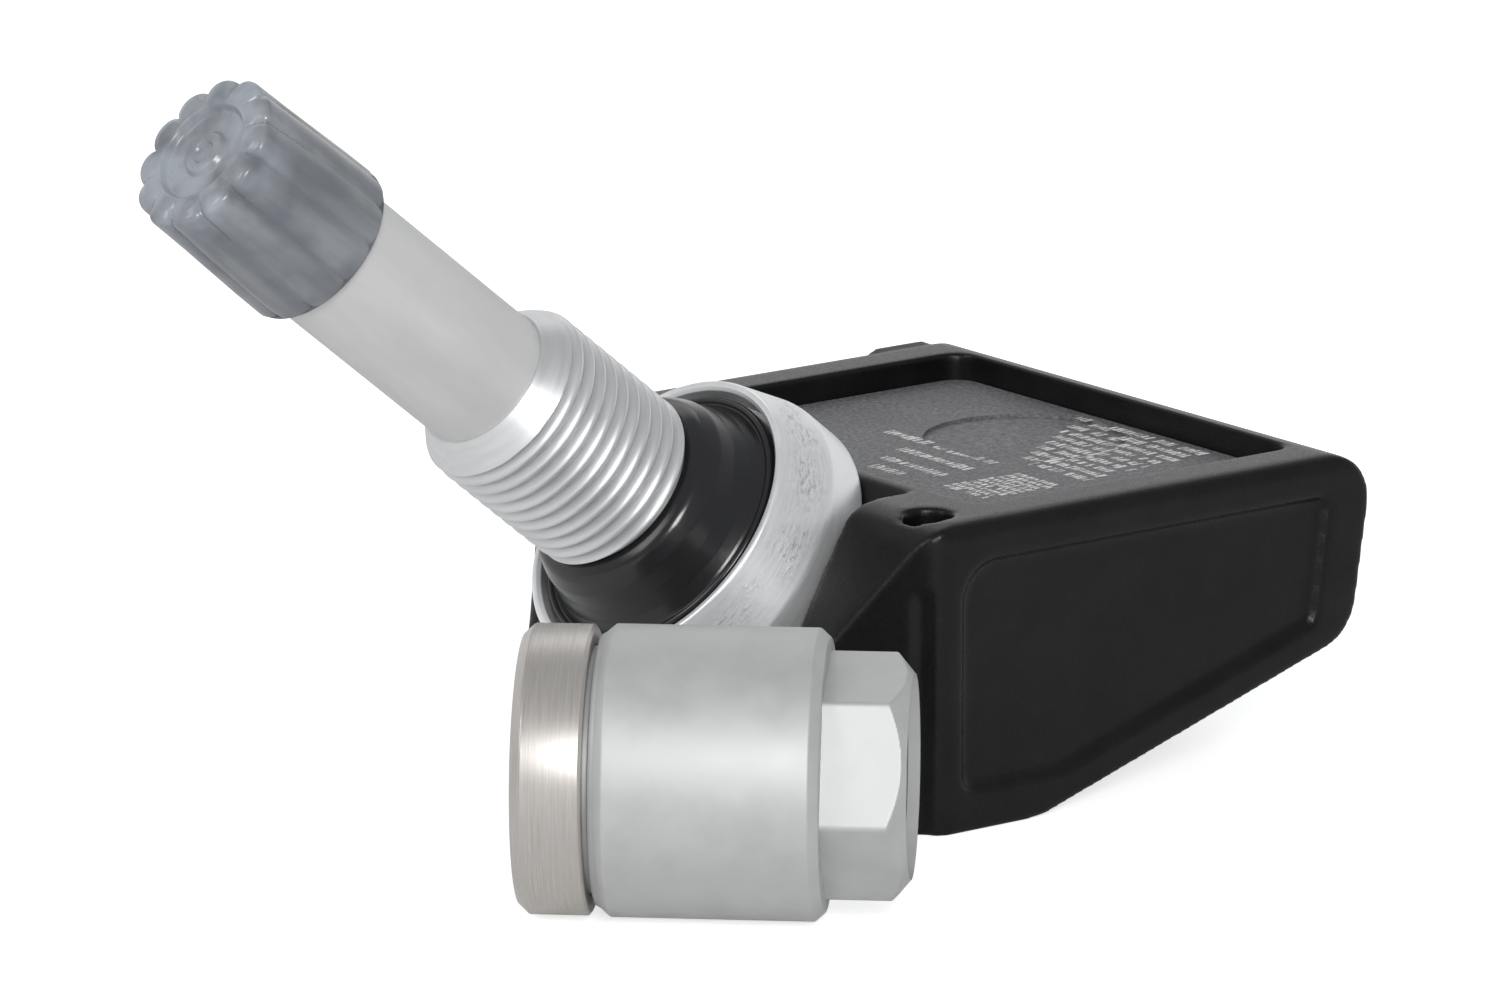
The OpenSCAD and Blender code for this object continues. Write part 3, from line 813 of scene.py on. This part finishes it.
def bars(bm, rng, x, y_from, y_to, depth, top):
    """One row of short plain bars along Y, depth wide along X, in millimetres."""
    y = y_from
    while y > y_to + 0.3:
        run = rng.uniform(0.1, 0.36)
        gap = rng.uniform(0.09, 0.18) if rng.random() < 0.88 else rng.uniform(0.35, 0.7)
        stop = max(y - run, y_to)
        half = depth * rng.uniform(0.3, 0.5)
        slant = rng.uniform(-0.1, 0.1)
        corners = [(x - half, stop), (x + half, stop + slant), (x + half, y + slant), (x - half, y)]
        sunk = math.hypot(x - DISC_X, (stop + y) / 2 - DISC_Y) < DISC_R - 0.1
        level = top - DISC_DEPTH * MM if sunk else top
        bm.faces.new([bm.verts.new((a * MM, b * MM, level)) for a, b in corners])
        y = stop - gap


def make_print():
    """Rows of short plain bars where the real cover carries its etched print."""
    rng = random.Random(7)
    mesh = bpy.data.meshes.new("cover_print")
    bm = bmesh.new()
    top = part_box("cover")[1].z + PRINT_LIFT * MM
    for k in range(9):
        left = 2.9 - 0.75 * k if k < 8 else -4.5
        bars(bm, rng, 28.3 - 1.16 * k, left, -8.8 - 0.12 * k, LONG_ROW, top)
    for x, y_from, y_to in SHORT_ROWS:
        bars(bm, rng, x, y_from, y_to, SHORT_ROW, top)
    for k in range(9):
        bars(bm, rng, 11.7 + 0.62 * k, -5.6 - 0.03 * k, -9.9, BLOCK_ROW, top)
    bm.to_mesh(mesh)
    bm.free()
    marks = new_object("cover_print", mesh)
    dress(marks, etched_print())
    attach(marks, "sensor")


def make_spring():
    """The valve core's spring, copied from its CAD node at one length, though the real spring
    shortens as the pin is pressed.
    """
    mesh = copied("core_spring", "core_spring_wound")
    spring = new_object("core_spring_wound", mesh)
    dress(spring, plain("spring_wire", (0.6, 0.6, 0.58), 1.0, 0.3))
    seat = min((vertex.co - STEM.origin).dot(STEM.along) for vertex in mesh.vertices)
    fit(spring, "sensor", "core_spring")
    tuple(STEM.along)
    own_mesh(spring)


def dress_inner_nodes():
    looks = {
        "circuit_board": ("board_resist", (0.03, 0.14, 0.06), 0.0, 0.35),
        "battery_cell": ("cell_steel", (0.6, 0.6, 0.61), 1.0, 0.3),
        "battery_tab_top": ("tab_strip", (0.66, 0.64, 0.58), 1.0, 0.35),
        "battery_tab_bottom": ("tab_strip", (0.66, 0.64, 0.58), 1.0, 0.35),
        "antenna_bracket": ("tab_strip", (0.66, 0.64, 0.58), 1.0, 0.35),
        "sensor_chip": ("chip_body", (0.03, 0.03, 0.03), 0.0, 0.5),
        "crystal": ("crystal_can", (0.7, 0.7, 0.68), 1.0, 0.25),
        "ferrite_core": ("ferrite", (0.06, 0.06, 0.07), 0.0, 0.55),
        "antenna_coil": ("coil_copper", (0.62, 0.28, 0.12), 1.0, 0.3),
        "capacitors": ("capacitor_body", (0.5, 0.38, 0.24), 0.0, 0.5),
        "retaining_screw": ("screw_zinc", (0.55, 0.55, 0.54), 1.0, 0.35),
        "core_body": ("core_brass", (0.72, 0.56, 0.28), 1.0, 0.3),
        "core_gasket": ("core_gasket", (0.5, 0.06, 0.04), 0.0, 0.5),
        "core_pin": ("core_wire", (0.6, 0.6, 0.58), 1.0, 0.3),
    }
    made = {}
    for node, (name, colour, metallic, roughness) in looks.items():
        if name not in made:
            made[name] = plain(name, colour, metallic, roughness)
        dress(frame["nodes"][node], made[name])
    seal = rubber("seal_rubber", 0.45)
    for node in ("core_seal_cup", "cap_seal"):
        dress(frame["nodes"][node], seal)


# Stage, light and camera
def towards(azimuth, elevation):
    """The direction of a view or a light, from the object."""
    a = math.radians(azimuth)
    e = math.radians(elevation)
    return Vector((math.sin(a) * math.cos(e), -math.cos(a) * math.cos(e), math.sin(e)))


def make_camera():
    back = towards(VIEW_AZIMUTH, VIEW_ELEVATION)
    right = Vector((0, 0, 1)).cross(back).normalized()
    up = back.cross(right)
    data = bpy.data.cameras.new("camera")
    data.sensor_width = SENSOR_MM
    data.lens = FOCAL_PIXELS * SENSOR_MM / IMAGE_WIDTH
    data.clip_start = 0.01
    data.clip_end = 20
    camera = new_object("camera", data)
    place = (right * TARGET_RIGHT + up * TARGET_UP + back * VIEW_DISTANCE) * MM
    turn = Matrix((right, up, back)).transposed().to_4x4()
    camera.matrix_world = Matrix.Translation(place) @ turn
    bpy.context.scene.camera = camera


def make_stage():
    floor_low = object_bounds()[0].z
    mesh = bpy.data.meshes.new("floor")
    corners = [(x * FLOOR_HALF, y * FLOOR_HALF, floor_low)
               for x, y in ((-1, -1), (1, -1), (1, 1), (-1, 1))]
    mesh.from_pydata(corners, [], [(0, 1, 2, 3)])
    floor = new_object("floor", mesh)
    m = Finish("floor_white")
    m.colour((0.8, 0.8, 0.8))
    m.rough(0.9)
    path = m.add("ShaderNodeLightPath")
    glossy, clear = path.outputs["Is Glossy Ray"], path.outputs["Is Transmission Ray"]
    mirrored = m.maths("MULTIPLY", m.maths("MAXIMUM", glossy, clear), MIRRORED_GLOW)
    seen = m.maths("MAXIMUM", path.outputs["Is Camera Ray"], mirrored)
    m.bsdf.inputs["Emission Color"].default_value = WHITE
    m.link(m.maths("MULTIPLY", seen, FLOOR_GLOW), m.bsdf.inputs["Emission Strength"])
    dress(floor, m.material)


def make_world():
    """A white sheet behind the object and a dimmer studio on the camera's side."""
    world = bpy.data.worlds.new("studio")
    bpy.context.scene.world = world
    world.use_nodes = True
    w = Tree(world.node_tree)
    w.tree.nodes.clear()
    path = w.add("ShaderNodeLightPath")
    coords = w.add("ShaderNodeTexCoord")
    height = w.add("ShaderNodeSeparateXYZ")
    w.link(coords.outputs["Generated"], height.inputs[0])
    low = w.ramp(height.outputs["Z"], 0.3, 0.6, 1.0, 0.0)
    facing = w.add("ShaderNodeVectorMath", operation="DOT_PRODUCT")
    facing.inputs[1].default_value = SHEET_SIDE
    w.link(coords.outputs["Generated"], facing.inputs[0])
    sheet = w.maths("MULTIPLY", w.ramp(facing.outputs["Value"], -0.3, 0.5), low)
    mirrored = w.maths("MULTIPLY", path.outputs["Is Glossy Ray"], sheet)
    seen = w.maths("MAXIMUM", path.outputs["Is Camera Ray"], mirrored)
    clear = w.maths("MAXIMUM", seen, path.outputs["Is Transmission Ray"])
    mix = w.add("ShaderNodeMixShader")
    out = w.add("ShaderNodeOutputWorld")
    w.link(clear, mix.inputs["Fac"])
    sides = ((STUDIO_COLOUR, STUDIO_STRENGTH), (WHITE, 1.0))
    for socket, (colour, strength) in zip((mix.inputs[1], mix.inputs[2]), sides):
        light = w.add("ShaderNodeBackground")
        light.inputs["Color"].default_value = colour
        light.inputs["Strength"].default_value = strength
        w.link(light.outputs[0], socket)
    w.link(mix.outputs[0], out.inputs["Surface"])


def make_lights():
    for name, azimuth, elevation, size, power in LIGHTS:
        away = towards(azimuth, elevation)
        data = bpy.data.lights.new(name, "AREA")
        data.shape = "RECTANGLE"
        data.size, data.size_y = size
        data.energy = power
        light = new_object(name, data)
        turn = away.to_track_quat("Z", "Y").to_matrix().to_4x4()
        light.matrix_world = Matrix.Translation(away * LIGHT_DISTANCE) @ turn


make_camera()
make_stage()
make_world()
make_lights()
make_housing()
make_cover()
make_print()
make_stem()
make_grommet()
make_cap()
make_nut()
make_spring()
dress_inner_nodes()
bpy.context.scene.view_settings.view_transform = "Standard"
